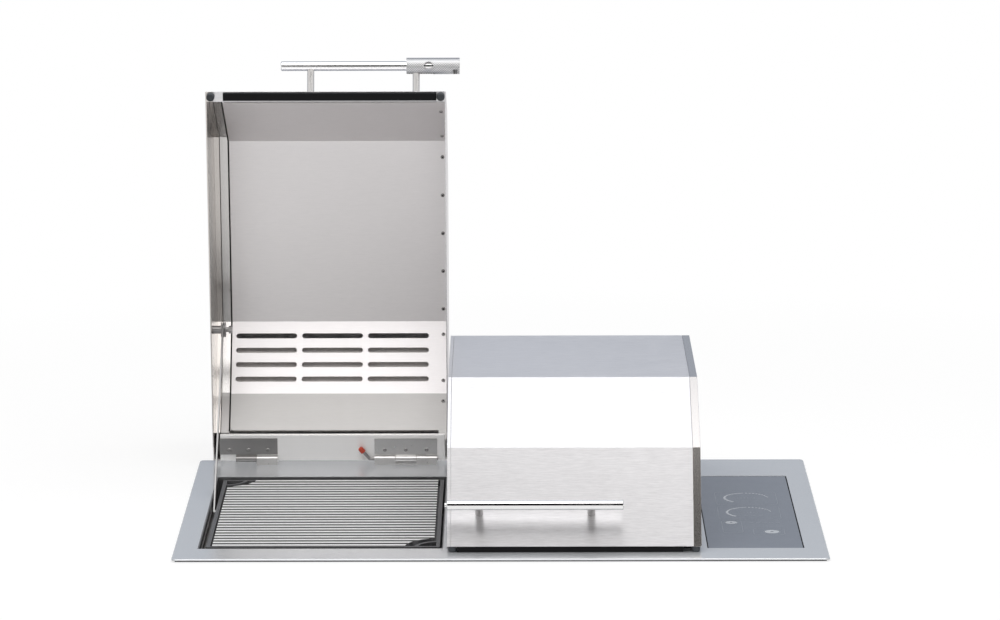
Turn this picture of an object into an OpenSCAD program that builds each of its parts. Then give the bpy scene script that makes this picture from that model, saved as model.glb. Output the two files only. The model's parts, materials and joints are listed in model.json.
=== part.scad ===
// Drop-in electric grill: two cooking wells, each under its own folded-steel lid on a pair of
// hinges, beside a flat control glass. Everything hangs from one bevelled deck plate.
// Frame: X to the right, Y to the back, Z up; the origin is the middle of the deck's footprint,
// on the counter. The left lid is drawn open and the right lid closed.

/* [Deck] */
// Thickness of the deck plate
deck_t = 2; // [1.5:0.1:3]
// Bevel round the deck's top edge
deck_bevel = 1; // [0.4:0.1:1.2]
// Corner radius of the deck
deck_corner_r = 6; // [3:0.5:15]
// Deck beside the left lid
side_margin = 18.1; // [14:0.1:30]
// Deck in front of the lids
front_margin = 31.5; // [22:0.5:60]
// Deck behind the hinge axis
back_margin = 25.5; // [22:0.5:60]
// Height of the seal under the deck
seal_h = 2; // [1:0.1:4]
// Width of the seal under the deck
seal_w = 9; // [5:0.5:10]
// Distance of the seal from the deck's edge
seal_inset = 4; // [2:0.5:6]

/* [Lids] */
// Width of one lid
lid_w = 297; // [285:1:330]
// Gap between the two lids
lid_gap = 4.8; // [4:0.1:8]
// How far a lid swings open, in degrees
open_angle = 83; // [75:1:84]
// Height of the hinge axis above the deck
hinge_h = 7; // [6.6:0.1:9]
// How far the front panel leans back
front_lean = 52.5; // [40:0.5:65]
// Height of the front panel
front_h = 107; // [95:1:125]
// Depth of the sloped panel
slope_run = 112; // [95:1:125]
// Rise of the sloped panel
slope_rise = 61.5; // [50:0.5:75]
// Depth of the level top panel
top_run = 262; // [240:1:300]
// Depth of the back panel, from the top panel to the hinge axis
back_run = 53.5; // [40:0.5:65]
// Height of the fold in the back panel above the hinge axis
back_fold_h = 70; // [50:1:90]
// How far the back panel's fold lies behind the hinge axis
back_fold_out = 6; // [4.5:0.1:7]
// How far the back panel's foot lies behind the hinge axis
back_foot_out = 3.5; // [2.5:0.1:3.8]
// Sheet thickness of a lid
sheet = 1.5; // [1:0.1:2]
// Width of the outer end panel's band on the cover's faces
band_w = 9; // [6:0.5:12]
// Width of the inner end panel's band
inner_band_w = 4; // [3:0.5:12]
// Open seam between cover and bands
seam = 0.2; // [0.1:0.05:0.4]
// Width of the front lip turned in under the front panel
lip_w = 13; // [11:0.5:16]
// Depth of the hinge rail at the lid's back
rail_d = 30; // [27:0.5:36]
// Height of the rail's upturned edge
rail_lip_h = 6; // [4:0.5:9]

/* [Liner] */
// Sheet thickness of the liner
liner_t = 1; // [0.8:0.1:1.5]
// Air space between the liner and the top panel
liner_air = 50.5; // [45:0.5:60]
// Depth of the liner's front slope
liner_front_run = 82; // [70:1:90]
// Depth of the liner's vent panel
vent_run = 78; // [65:0.5:90]
// Drop of the liner's vent panel
vent_drop = 57; // [50:0.5:65]
// Depth of the liner's tail panel
tail_run = 36.5; // [30:0.5:42]
// Drop of the liner's tail panel
tail_drop = 38; // [30:0.5:40]
// Distance of the liner's tail edge from the hinge axis
tail_a = 30; // [28:0.5:40]
// Width of the tab that runs on from the tail panel
tab_w = 10.5; // [8:0.5:14]
// Length of that tab
tab_l = 15; // [10:0.5:18]
// Radius of the liner's tail corners
tail_r = 5; // [2:0.5:8]
// Inset of the liner from the lid's outer edge
liner_inset = 21; // [19:0.5:26]
// Depth of the side channel behind the liner
channel_step = 6.5; // [4:0.5:7]
// Height of a vent slot
slot_h = 6.6; // [4:0.2:8]
// Web between the vent slots' columns
slot_web = 6.6; // [5:0.1:14]
// Distance of the vent slots from the liner's outer edge
slot_margin = 5.2; // [4:0.1:14]
// Distance of the vent slots from the liner's inner edge
slot_end = 23.4; // [16:0.1:30]
// Columns of vent slots
slot_cols = 3; // [1:1:3]
// Rows of vent slots
slot_rows = 4; // [1:1:5]

/* [Seals] */
// Width of the front gasket
gasket_w = 9; // [6:0.5:10]
// Inset of the gasket from the lid's ends
gasket_inset = 22; // [16:0.5:30]
// Diameter of a corner bumper
bumper_d = 10; // [8:0.5:11]
// Distance of a corner bumper from the lid's end
bumper_inset = 6.5; // [5.5:0.5:9]
// Room left between moving pieces and their seats
seat_gap = 0.3; // [0.2:0.05:0.6]

/* [Hinges] */
// Outer diameter of a hinge knuckle
knuckle_d = 7.6; // [7:0.1:8.2]
// Diameter of a hinge pin
hinge_pin_d = 4; // [3:0.1:4.5]
// Radial running clearance of a pin
pin_play = 0.05; // [0.02:0.01:0.1]
// Thickness of a hinge leaf
leaf_t = 1.5; // [1:0.1:1.6]
// Depth of a lid leaf in front of the axis
leaf_d = 26; // [22:0.5:26.5]
// Depth of a base leaf behind the axis
base_leaf_d = 19; // [16:0.5:21]
// Length of one knuckle
knuckle_l = 26; // [20:0.5:28]
// Gap between two knuckles
knuckle_gap = 0.5; // [0.3:0.1:1]
// Slip hinge: distance of its lid knuckle from the lid's outer edge
slip_inset = 29; // [26:0.5:40]
// Slip hinge: how far its lid leaf runs on past the lid knuckle
slip_leaf_ext = 20.5; // [14:0.5:22]
// Pin hinge: distance from the lid's inner edge
pin_inset = 14; // [11:0.5:20]
// Rivets in a hinge leaf
rivets = 3; // [2:1:4]
// Diameter of a rivet's head
rivet_d = 5; // [4:0.2:6]
// Length of the release pin's bent leg
leg_l = 18; // [14:0.5:19]
// Lean of the release pin's bent leg, in degrees
leg_lean = 41; // [0:1:45]
// Diameter of the release pin's cap
cap_d = 6.6; // [5.6:0.1:7.2]
// Length of the release pin's cap
cap_l = 7.5; // [6:0.5:12]
// Bare length of the release pin before its bend
pin_tail = 6; // [5:0.5:9]

/* [Handles] */
// Length of a handle bar
bar_l = 205.5; // [180:0.5:230]
// Diameter of a handle bar
bar_d = 12; // [10:0.1:13]
// Distance between a handle's posts
post_pitch = 131; // [110:1:140]
// Diameter of a handle post
post_d = 9; // [7:0.1:10]
// Distance from the inner end of a bar to its post
post_end = 37.5; // [32:0.5:45]
// Distance from the front panel to the middle of the bar
bar_off = 40; // [36:0.5:50]
// Height of the posts up the front panel
post_up = 40.5; // [30:0.5:50]
// Diameter of the spigot at the right bar's inner end
spigot_d = 5; // [3:0.1:7]
// Length of that spigot
spigot_l = 2.5; // [1:0.1:4]
// Outer diameter of the coupler sleeve
sleeve_d = 20.5; // [17:0.1:22]
// Length of the coupler sleeve
sleeve_l = 66; // [58:0.5:70]
// How far the sleeve reaches past the bar's end
sleeve_reach = 16.5; // [12:0.5:18]
// How far the sleeve slides back
sleeve_travel = 18; // [14:0.5:20]
// Radial running clearance of the sleeve
sleeve_play = 0.1; // [0.05:0.01:0.1]
// Diameter of the window in the sleeve
window_w = 11.5; // [8:0.5:13]

/* [Lid stays] */
// Distance of the stay's pivot in front of the hinge axis
stay_a = 162; // [150:1:175]
// Height of the stay's pivot above the hinge axis
stay_z = 30; // [24:1:36]
// Length of a stay between its pivots
stay_l = 290; // [275:1:292]
// Thickness of a stay
stay_t = 1.8; // [1.4:0.1:2.2]
// Width of a stay
stay_w = 13; // [10:0.5:15]
// Inset of the stay from the lid's outer edge
stay_inset = 13; // [12.6:0.1:14]
// Diameter of the stay's pivot bolt
stay_bolt_d = 6; // [4:0.1:7]
// Diameter of the stay's foot roller
roller_d = 8; // [6:0.1:9]
// Length of the stay's foot roller
roller_l = 3; // [2:0.1:3.2]

/* [Wells and grates] */
// How far a lid laps over its well's outer edge
well_lap = 9.4; // [8.6:0.1:11]
// Deck in front of the wells
well_front = 52.5; // [50:0.5:60]
// Depth of a well, front to back
well_d = 388; // [375:1:395]
// Depth of a well below the deck
well_h = 64; // [60:0.5:74]
// Sheet thickness of the wells and the burner box
tub_t = 1.2; // [0.8:0.1:1.5]
// Width of the flange that hangs a well under the deck
tub_flange = 5; // [3:0.5:6]
// How far the grate's top lies below the deck's top
grate_drop = 0.5; // [0.3:0.1:4]
// Thickness of a grate from rib to underside
grate_t = 13; // [10:0.5:15]
// Thickness of a grate's floor
grate_floor = 5; // [3:0.5:7]
// Gap round a grate, front and back
grate_gap_y = 13.5; // [8:0.5:16]
// Gap beside a grate, on the stay's side
grate_gap_out = 9; // [8.6:0.1:12]
// Gap beside a grate, on the inner side
grate_gap_in = 4; // [2:0.1:6]
// Ribs on a grate
ribs = 26; // [12:1:28]
// Width of a rib at its crest
rib_w = 6.6; // [3:0.2:7]
// Draft of a rib's flanks
rib_draft = 1.2; // [0.4:0.1:2]
// Width of a grate's rim
grate_rim = 4.6; // [3:0.2:8]
// How far a grate's rim lies below its ribs
rim_drop = 0.8; // [0:0.1:2]
// Width of the drain grooves between the ribs' ends and the rim
groove_w = 2.4; // [1:0.2:5]
// Radius of a grate's corner drains
drain_r = 26; // [18:0.5:30]
// Thickness of the wall round a corner drain
drain_wall = 4.4; // [3:0.2:6]
// Distance of the ribs from a drain's corner
rib_clear_r = 41; // [34:0.5:48]
// Diameter of a heating element's tube
element_d = 7; // [6:0.1:8.5]
// Straight runs of a heating element
element_runs = 6; // [4:2:8]
// Distance between those runs
element_pitch = 40; // [34:0.5:44]
// Depth of the element's middle below the grate
element_drop = 16; // [14:0.5:20]
// Height of a drip tray
tray_h = 16; // [12:0.5:18]
// Gap round a drip tray
tray_gap = 8; // [5:0.5:14]
// Width of a drip tray's rim
tray_rim = 4; // [2:0.5:5]

/* [Controls] */
// Deck between the right lid and the control glass
panel_gap = 7.6; // [6:0.1:12]
// Width of the control opening
panel_w = 113.5; // [100:0.5:130]
// Deck beside the control glass
panel_margin = 27; // [26:0.5:40]
// Thickness of the control glass
glass_t = 4; // [3:0.1:5]
// Gap between the control glass and the deck
glass_gap = 1.4; // [1:0.1:2]
// How far the glass lies below the deck's top
glass_drop = 0.4; // [0.2:0.05:0.8]
// Depth of the control housing under the glass
housing_h = 42; // [34:1:50]
// Wall of the control housing
housing_t = 2; // [1.5:0.1:3]

/* [Burner box] */
// Depth of the burner box below the counter
box_h = 96; // [90:1:130]
// How far the deck stands out past the burner box
box_inset = 20.5; // [18:0.5:21]
// Diameter of the cable gland's bore
gland_bore = 11; // [8:0.1:13]
// Outer diameter of the cable gland's thread
gland_d = 20; // [18:0.1:22]
// Reach of a hold-down clamp
clamp_reach = 14; // [12:0.5:16]
// Thickness of a hold-down clamp
clamp_t = 2.5; // [2:0.1:4]
// Thickness of the counter that the clamps grip
counter_t = 30; // [20:1:40]

/* [Hidden] */
$fn = 48;

// Room between pieces that are pushed together
fit = 0.2;
// Cuts run this far past the faces that they open
over = 1;

// Deck and frame
lid_reach = front_lean + slope_run + top_run + back_run;
deck_w = side_margin + 2 * lid_w + lid_gap + panel_gap + panel_w + panel_margin;
deck_d = front_margin + lid_reach + back_margin;
deck_top = seal_h + deck_t;
left_x = side_margin - deck_w / 2;
right_x = left_x + 2 * lid_w + lid_gap;
hinge_y = deck_d / 2 - back_margin;
hinge_z = deck_top + hinge_h;
panel_x = right_x + panel_gap;

// Wells, grates and trays, in a side's own frame
well_y = well_front - deck_d / 2;
tub_x0 = well_lap + fit;
tub_x1 = lid_w - fit;
tub_y0 = well_y + fit;
tub_y1 = well_y + well_d - fit;
tub_floor = deck_top - well_h;
tub_lip_drop = 0.6;
tub_lip = deck_top - tub_lip_drop;
grate_x0 = well_lap + grate_gap_out;
grate_x1 = lid_w - grate_gap_in;
grate_y0 = well_y + grate_gap_y;
grate_y1 = well_y + well_d - grate_gap_y;
grate_top = deck_top - grate_drop;
grate_bottom = grate_top - grate_t;
ledge_top = grate_bottom - seat_gap;
ledge_lap = 8;
element_z = grate_bottom - element_drop;
element_mid = (well_lap + lid_w) / 2;
element_front = 48;
element_back = 52;
element_y0 = well_y + element_front;
element_y1 = well_y + well_d - element_back;
bushing_wall = 3.5;
bushing_d = element_d + 2 * bushing_wall;
bushing_l = 12;
terminal_l = 26;

// Folded sheets are paths of [y, z] points in a lid's own frame: the hinge axis is the origin
lid_h = front_h + slope_rise;
rail_z = knuckle_d / 2 + 2 * seat_gap;
rim = [-lid_reach, 0];
fold_1 = rim + [front_lean, front_h];
fold_2 = fold_1 + [slope_run, slope_rise];
fold_3 = [-back_run, lid_h];
fold_4 = [back_fold_out, back_fold_h];
back_foot = [back_foot_out, rail_z];
lip_edge = rim + [lip_w, 0];
shell_path = [lip_edge, rim, fold_1, fold_2, fold_3, fold_4, back_foot];
rail_path = [[-rail_d, rail_z], [-rail_d, rail_z + rail_lip_h]];
end_toe = [-2 * knuckle_d, 0];
liner_z = lid_h - liner_air;
tail_lip = 4;
liner_0 = lip_edge + [liner_t + seam, 0];
liner_1 = [liner_0.x + liner_front_run, liner_z];
liner_4 = [-tail_a, liner_z - vent_drop - tail_drop];
liner_3 = liner_4 + [-tail_run, tail_drop];
liner_2 = liner_3 + [-vent_run, vent_drop];
liner_path = [liner_0, liner_1, liner_2, liner_3, liner_4];
tab_end = liner_4 + tab_l * (liner_4 - liner_3) / norm(liner_4 - liner_3);
flange_path = [liner_0, liner_1, liner_2, liner_3, (liner_3 + 3 * liner_4) / 4];
vent_l = norm([vent_run, vent_drop]);
vent_tilt = atan2(vent_drop, vent_run);
liner_w = lid_w - sheet - seam - liner_inset;
slot_l = (liner_w - slot_margin - slot_end - (slot_cols - 1) * slot_web) / slot_cols;
end_flange = 10;
channel_gap = 0.8;
channel_x = band_w - seam;
channel_web = 1.2;
seal_edge = 1;
liner_screw_d = 5;
liner_screw_h = 1.4;
head_taper = 0.7;

// Hinges, in a side's own frame
slip_mid = slip_inset + knuckle_l;
slip_end = slip_mid + knuckle_gap + knuckle_l;
pin_end = lid_w - pin_inset;
pin_start = pin_end - 3 * knuckle_l - 2 * knuckle_gap;
pin_mid = pin_start + knuckle_l + knuckle_gap;
leaf_room = 1.2;
leaf_clear = knuckle_d / 2 + leaf_room;
pin_bore_d = hinge_pin_d + 2 * pin_play;
base_screw_d = 3;
base_screw_head = 5.4;
base_screw_l = deck_top - seat_gap;
screw_inset = 8;
rivet_h = 0.7;
rivet_y = -leaf_d * 0.42;
pin_nose = 1.5;

// Handles
panel_tilt = atan2(front_h, front_lean);
post_foot = rim + post_up * [cos(panel_tilt), sin(panel_tilt)];
bar_mid = post_foot + bar_off * [-sin(panel_tilt), cos(panel_tilt)];
post_xs = [lid_w - post_end, lid_w - post_end - post_pitch];
bar_chamfer = 0.8;
sleeve_x = lid_w + sleeve_reach - sleeve_l;
post_slot_l = post_xs[0] - sleeve_x + sleeve_travel + post_d / 2 + over;
post_slot_w = post_d + 2 * seat_gap;
window_back = 8;
window_x = post_slot_l - window_w / 2 - window_back;
sleeve_notch_l = 6;
sleeve_notch_end = 2.5;
post_screw_d = 9;
post_screw_h = 3;

// Lid stays
track_drop = 18;
track_skirt = 12;
track_top = deck_top - track_drop;
foot_z = track_top + seat_gap + roller_d / 2;
stay_end_room = 12;
stay_bore_d = stay_bolt_d + 2 * pin_play;
nut_d = 10;
nut_h = 4;
nut_reach = 8.5;
washer_d = 19;
washer_t = 0.9;
washers = 2;
function lid_point(angle) = [
    hinge_y - stay_a * cos(angle) + stay_z * sin(angle),
    hinge_z + stay_a * sin(angle) + stay_z * cos(angle)
];
function stay_fall(angle) = asin((lid_point(angle).y - foot_z) / stay_l);
function foot_y(angle) = lid_point(angle).x - stay_l * cos(stay_fall(angle));

// Controls and burner box
panel_d = well_d;
glass_top = deck_top - glass_drop;
glass_bottom = glass_top - glass_t;
gasket_t = 1.5;
gasket_lap = 5;
gasket_sink = 1;
housing_floor = glass_bottom - gasket_t - housing_h;
board_t = 1.6;
board_lift = 22;
board_z = housing_floor + housing_t + board_lift;
board_gap = 7;
standoff_d = 6;
relays = 4;
relay_w = 24;
relay_d = 30;
relay_h = 9;
relay_inset = 16;
relay_first = 40;
relay_pitch = 70;
poles = 4;
pole_w = 10.5;
pole_d = 18;
pole_h = 22;
pole_pitch = 15.5;
block_w = 60;
block_d = 26;
block_h = 12;
block_room = 52;
box_x = deck_w / 2 - box_inset;
box_y = deck_d / 2 - box_inset;
vent_slot_w = 5;
vent_slot_l = 40;
side_slots = 4;
floor_slot_pitch = 36;
floor_slot_y = 60;
wall_slot_pitch = 20;
wall_slot_rise = 20;
gland_inset = 63.25;
gland_x = box_x - gland_inset;
gland_z = -box_h * 0.6;
gland_flange_w = 4;
gland_flange_d = gland_d + 2 * gland_flange_w;
gland_flange_t = 4;
gland_out = 16;
gland_in = 8;
clamp_y = box_y * 0.6;
clamp_w = 26;
clamp_h = 34;
clamp_room = 12;
clamp_bolt_d = 6;
clamp_pad_d = 12;
clamp_pad_h = 3;
clamp_head_h = 4;

// Colours
steel = [0.78, 0.79, 0.81];
satin = [0.70, 0.72, 0.75];
dull = [0.55, 0.56, 0.58];
black = [0.08, 0.08, 0.09];
cast = [0.62, 0.62, 0.63];
ceramic = [0.90, 0.88, 0.82];

// Left normal of the line from p to q
function normal(p, q) = [p.y - q.y, q.x - p.x] / norm(q - p);
// A path moved to its left by t, with mitred corners
function moved(path, t) = [
    for (i = [0 : len(path) - 1])
        let (before = normal(path[max(i - 1, 0)], path[max(i, 1)]))
        let (after = normal(path[min(i, len(path) - 2)], path[min(i + 1, len(path) - 1)]))
        path[i] + t * (before + after) / (1 + before * after)
];
function backwards(path) = [for (i = [len(path) - 1 : -1 : 0]) path[i]];

// Sheet of thickness t on the left of a path
module sheet_2d(path, t) {
    polygon(concat(path, backwards(moved(path, t))));
}

// Outline in the Y-Z plane drawn out along X
module along_x(x, length) {
    translate([x, 0, 0]) rotate([90, 0, 90]) linear_extrude(length) children();
}

module rod_x(x, length, d) {
    translate([x, 0, 0]) rotate([0, 90, 0]) cylinder(d = d, h = length);
}

// Box between two corners
module block(low, high) {
    translate(low) cube(high - low);
}

// Open tray between two corners, with walls of thickness t
module tray(low, high, t) {
    difference() {
        block(low, high);
        block(low + [t, t, t], high + [-t, -t, over]);
    }
}

// Flat ring between an outer rectangle and an inner one
module frame_ring(low, high, border) {
    difference() {
        block(low, high);
        block(low + [border, border, -over], high + [-border, -border, over]);
    }
}

module rounded(w, d, r) {
    square([w - 2 * r, d], center = true);
    square([w, d - 2 * r], center = true);
    for (x = [-1, 1], y = [-1, 1]) {
        translate([x * (w / 2 - r), y * (d / 2 - r)]) circle(r);
    }
}

// A side's own frame: x runs from the lid's outer edge to its inner edge
module on_base(side) {
    if (side < 0) translate([left_x, 0, 0]) children();
    else translate([right_x, 0, 0]) mirror([1, 0, 0]) children();
}

// The frame of a side's lid: the left one stands open, the right one is shut
module on_lid(side) {
    on_base(side) translate([0, hinge_y, hinge_z])
        rotate([side < 0 ? -open_angle : 0, 0, 0]) children();
}

// The middle of a handle bar, with z pointing away from the front panel
module on_bar(side) {
    on_lid(side) translate([0, bar_mid.x, bar_mid.y]) rotate([panel_tilt, 0, 0]) children();
}

// Deck

module bevelled_top(w, d, r, c) {
    trapezium = function (half) [[-half, 0], [half, 0], [half - c, c], [c - half, c]];
    along_x(r - w / 2, w - 2 * r) polygon(trapezium(d / 2));
    rotate([0, 0, 90]) along_x(r - d / 2, d - 2 * r) polygon(trapezium(w / 2));
    for (x = [-1, 1], y = [-1, 1]) {
        translate([x * (w / 2 - r), y * (d / 2 - r), 0]) cylinder(r1 = r, r2 = r - c, h = c);
    }
}

module hinge_screw_places(side) {
    y = hinge_y + base_leaf_d / 2;
    for (ends = [[slip_mid, slip_end], [pin_start, pin_end]]) {
        for (x = [ends[0] + screw_inset, ends[1] - screw_inset]) {
            on_base(side) translate([x, y, deck_top]) children();
        }
    }
}

module deck_plate() {
    color(satin) difference() {
        union() {
            translate([0, 0, seal_h]) linear_extrude(deck_t - deck_bevel)
                rounded(deck_w, deck_d, deck_corner_r);
            translate([0, 0, deck_top - deck_bevel])
                bevelled_top(deck_w, deck_d, deck_corner_r, deck_bevel);
        }
        for (side = [-1, 1]) {
            on_base(side) block([well_lap, well_y, -over],
                                [lid_w, well_y + well_d, deck_top + over]);
            hinge_screw_places(side)
                translate([0, 0, -deck_t - over])
                    cylinder(d = base_screw_d, h = deck_t + 2 * over);
        }
        block([panel_x, well_y, -over], [panel_x + panel_w, well_y + panel_d, deck_top + over]);
    }
}

module flange_seal() {
    edge = [deck_w / 2 - seal_inset, deck_d / 2 - seal_inset, 0];
    color(black) frame_ring(-edge, edge + [0, 0, seal_h], seal_w);
}

module burner_floor() {
    color(dull) difference() {
        block([-box_x, -box_y, -box_h], [box_x, box_y, tub_t - box_h]);
        for (x = [-side_slots : side_slots], y = [-1, 1]) {
            translate([x * floor_slot_pitch, y * floor_slot_y, -box_h])
                cube([vent_slot_w, vent_slot_l, 2 * (tub_t + over)], center = true);
        }
    }
}

module burner_walls() {
    foot = tub_t - box_h;
    inner_x = box_x - tub_t - fit;
    color(dull) {
        block([-box_x, -box_y, foot], [tub_t - box_x, box_y, seal_h]);
        difference() {
            block([box_x - tub_t, -box_y, foot], [box_x, box_y, seal_h]);
            for (i = [-side_slots : side_slots]) {
                translate([box_x - tub_t - over, i * wall_slot_pitch, wall_slot_rise - box_h])
                    block([0, -vent_slot_w / 2, 0], [tub_t + 2 * over, vent_slot_w / 2, vent_slot_l]);
            }
        }
        block([-inner_x, -box_y, foot], [inner_x, tub_t - box_y, seal_h]);
        difference() {
            block([-inner_x, box_y - tub_t, foot], [inner_x, box_y, seal_h]);
            translate([gland_x, box_y + over, gland_z]) rotate([90, 0, 0])
                cylinder(d = gland_d + 2 * fit, h = tub_t + 2 * over);
        }
    }
}

// Wells

module element_runs_x() {
    for (i = [0 : element_runs - 1]) {
        translate([element_mid + (i - (element_runs - 1) / 2) * element_pitch, 0, 0]) {
            $run = i;
            children();
        }
    }
}

module element_ends() {
    for (end = [-1, 1]) {
        translate([element_mid + end * (element_runs - 1) / 2 * element_pitch, 0, element_z])
            children();
    }
}

module well(side) {
    color(dull) on_base(side) difference() {
        union() {
            tray([tub_x0, tub_y0, tub_floor], [tub_x1, tub_y1, tub_lip], tub_t);
            difference() {
                block([tub_x0 - tub_flange, tub_y0 - tub_flange, seal_h - tub_t],
                      [tub_x1, tub_y1 + tub_flange, seal_h]);
                block([tub_x0 + tub_t / 2, tub_y0 + tub_t / 2, -over],
                      [tub_x1 + over, tub_y1 - tub_t / 2, seal_h + over]);
            }
            for (y = [tub_y0 + tub_t, grate_y1 - ledge_lap]) {
                depth = grate_gap_y + ledge_lap - fit - tub_t;
                translate([grate_x0 + ledge_lap, y, ledge_top - tub_t])
                    cube([grate_x1 - grate_x0 - 2 * ledge_lap, depth, tub_t]);
            }
            for (pair = [0 : 2 : element_runs - 2]) {
                x = element_mid + (pair - element_runs / 2 + 1) * element_pitch;
                lug_w = 12;
                block([x - lug_w / 2, tub_y0 + tub_t / 2, element_z - element_d / 2 - 2 * tub_t],
                      [x + lug_w / 2, element_y0 - element_pitch / 2 + element_d / 2,
                       element_z - element_d / 2]);
            }
        }
        element_ends() translate([0, tub_y1 + over, 0]) rotate([90, 0, 0])
            cylinder(d = bushing_d, h = tub_t + 2 * over);
    }
}

module drip_tray(side) {
    low = [tub_x0 + tub_t + tray_gap, tub_y0 + tub_t + tray_gap, tub_floor + tub_t];
    high = [tub_x1 - tub_t - tray_gap, tub_y1 - tub_t - tray_gap, tub_floor + tub_t + tray_h];
    color(satin) on_base(side) {
        tray(low, high, tub_t);
        frame_ring([low.x - tray_rim, low.y - tray_rim, high.z - tub_t],
                   high + [tray_rim, tray_rim, 0], tray_rim + tub_t);
    }
}

module heating_element(side) {
    color([0.30, 0.29, 0.30]) on_base(side) {
        element_runs_x() {
            translate([0, element_y0, element_z]) rotate([-90, 0, 0])
                cylinder(d = element_d, h = element_y1 - element_y0);
            at_front = $run % 2 == 0;
            if ($run < element_runs - 1) {
                translate([element_pitch / 2, at_front ? element_y0 : element_y1, element_z])
                    rotate([0, 0, at_front ? 180 : 0]) rotate_extrude(angle = 180)
                        translate([element_pitch / 2, 0]) circle(d = element_d);
            }
        }
        element_ends() {
            translate([0, element_y1, 0]) rotate([-90, 0, 0])
                cylinder(d = element_d, h = tub_y1 - element_y1 + terminal_l);
            translate([0, tub_y1 - bushing_l / 2, 0]) rotate([-90, 0, 0])
                cylinder(d = bushing_d, h = bushing_l);
        }
    }
}

module stay_track(side) {
    wall = tub_x0 + tub_t;
    y0 = foot_y(0) - stay_end_room / 2;
    y1 = foot_y(open_angle) + stay_end_room;
    shelf_x = stay_inset + stay_t + roller_l;
    color(dull) on_base(side) {
        block([wall, y0, track_top - tub_t], [shelf_x, y1, track_top]);
        block([wall, y0, track_top - track_skirt], [wall + tub_t, y1, track_top + roller_d]);
    }
}

// The two corners of a grate that drain
module drain_corners() {
    for (corner = [[grate_x0, grate_y1], [grate_x1, grate_y0]]) {
        translate([corner.x, corner.y, grate_bottom - over])
            children();
    }
}

module grate_ribs() {
    first = grate_y0 + grate_rim + rib_w / 2;
    last = grate_y1 - grate_rim - rib_w / 2;
    rise = grate_t - grate_floor;
    x0 = grate_x0 + grate_rim + groove_w;
    length = grate_x1 - grate_rim - groove_w - x0;
    for (i = [0 : ribs - 1]) {
        translate([0, first + (last - first) * i / (ribs - 1), grate_top - rise - over])
            along_x(x0, length) polygon([
                [-rib_w / 2 - rib_draft, 0], [rib_w / 2 + rib_draft, 0],
                [rib_w / 2, rise + over], [-rib_w / 2, rise + over]
            ]);
    }
}

module grate(side) {
    low = [grate_x0, grate_y0, grate_bottom];
    high = [grate_x1, grate_y1, grate_top - rim_drop];
    inside = [grate_rim, grate_rim, 0];
    cut_h = grate_t + 2 * over;
    color(cast) on_base(side) {
        difference() {
            block(low, [high.x, high.y, grate_bottom + grate_floor]);
            intersection() {
                drain_corners() cylinder(r = drain_r, h = cut_h);
                block(low + inside - [0, 0, over], high - inside);
            }
        }
        frame_ring(low, high, grate_rim);
        difference() {
            grate_ribs();
            drain_corners() cylinder(r = rib_clear_r, h = cut_h);
        }
        intersection() {
            block(low, high);
            drain_corners() difference() {
                cylinder(r = drain_r + drain_wall, h = cut_h);
                translate([0, 0, -over]) cylinder(r = drain_r, h = cut_h + 2 * over);
            }
        }
    }
}

// Controls

module control_glass() {
    low = [panel_x + glass_gap, well_y + glass_gap, glass_bottom];
    high = [panel_x + panel_w - glass_gap, well_y + panel_d - glass_gap, glass_top];
    color([0.50, 0.53, 0.57]) block(low, high);
}

module control_gasket() {
    low = [panel_x, well_y, glass_bottom - gasket_t];
    high = [panel_x + panel_w, well_y + panel_d, glass_bottom];
    color(black) {
        frame_ring(low, high, glass_gap + gasket_lap);
        frame_ring(low, [high.x, high.y, glass_top - gasket_sink], glass_gap);
    }
}

module control_housing() {
    low = [panel_x - housing_t, well_y - housing_t, housing_floor];
    high = [panel_x + panel_w + housing_t, well_y + panel_d + housing_t, seal_h];
    color([0.75, 0.76, 0.77]) {
        tray(low, high, housing_t);
        frame_ring([low.x, low.y, glass_bottom - gasket_t - housing_t],
                   [high.x, high.y, glass_bottom - gasket_t], housing_t + glass_gap + gasket_lap);
    }
}

module control_board() {
    low = [panel_x + board_gap, well_y + board_gap, board_z];
    high = [panel_x + panel_w - board_gap, well_y + panel_d - board_gap, board_z + board_t];
    inset = standoff_d;
    color([0.10, 0.35, 0.20]) {
        block(low, high);
        for (x = [low.x + inset, high.x - inset], y = [low.y + inset, high.y - inset]) {
            translate([x, y, housing_floor + housing_t])
                cylinder(d = standoff_d, h = board_z - housing_floor - housing_t);
        }
        for (i = [0 : relays - 1]) {
            translate([low.x + relay_inset, low.y + relay_first + i * relay_pitch, high.z])
                cube([relay_w, relay_d, relay_h]);
        }
    }
}

module terminal_block() {
    base = [gland_x - block_w / 2, box_y - block_room, -box_h + tub_t];
    inset = [(block_w - pole_w - (poles - 1) * pole_pitch) / 2, (block_d - pole_d) / 2, 0];
    color(ceramic) {
        translate(base) cube([block_w, block_d, block_h]);
        for (i = [0 : poles - 1]) {
            translate(base + inset + [i * pole_pitch, 0, 0]) cube([pole_w, pole_d, pole_h]);
        }
    }
}

module cable_gland() {
    color(black) translate([gland_x, box_y, gland_z]) rotate([-90, 0, 0]) difference() {
        union() {
            translate([0, 0, -tub_t - gland_in])
                cylinder(d = gland_d, h = gland_in + tub_t + gland_out);
            cylinder(d = gland_flange_d, h = gland_flange_t, $fn = 6);
            translate([0, 0, -tub_t - gland_flange_t])
                cylinder(d = gland_flange_d, h = gland_flange_t, $fn = 6);
        }
        translate([0, 0, -tub_t - gland_in - over])
            cylinder(d = gland_bore, h = gland_in + tub_t + gland_out + 2 * over);
    }
}

// Four places on the burner box, with x pointing away from its wall
module clamp_places() {
    for (side = [-1, 1], y = [-clamp_y, clamp_y]) {
        translate([side * box_x, y, -counter_t - clamp_room])
            mirror([side < 0 ? 1 : 0, 0, 0]) children();
    }
}

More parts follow.
